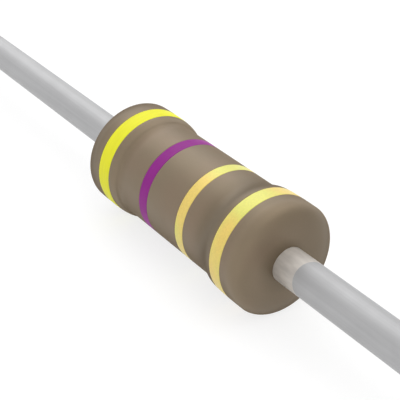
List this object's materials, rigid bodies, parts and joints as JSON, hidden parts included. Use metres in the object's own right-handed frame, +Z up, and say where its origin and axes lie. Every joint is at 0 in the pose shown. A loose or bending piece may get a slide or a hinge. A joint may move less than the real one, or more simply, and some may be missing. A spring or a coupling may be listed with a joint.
{
  "type": "carbon film resistor",
  "caption": "Axial carbon film resistor: a dog-bone lacquered body with painted colour bands over a filmed ceramic rod in pressed end caps, with straight tinned wire leads.",
  "frame": {"origin": "middle of the lacquered body, on its axis", "axes": "+X along the axis, from the first digit's band towards the tolerance band; +Z up when the leads lie level"},
  "size_m": [0.0618, 0.0024, 0.0024],
  "materials": {
    "ceramic": "matte",
    "carbon": "satin",
    "cap_steel": "satin",
    "tinned_wire": "satin",
    "lacquer": "satin",
    "yellow_paint": "satin",
    "violet_paint": "satin",
    "gold_paint": "satin"
  },
  "bodies": {
    "root": {"ceramic_rod": "ceramic", "carbon_film": "carbon", "end_cap_left": "cap_steel", "end_cap_right": "cap_steel", "lead_left": "tinned_wire", "lead_right": "tinned_wire", "coating": "lacquer", "first_digit_band": "yellow_paint", "second_digit_band": "violet_paint", "multiplier_band": "gold_paint", "tolerance_band": "gold_paint"}
  },
  "joints": []
}
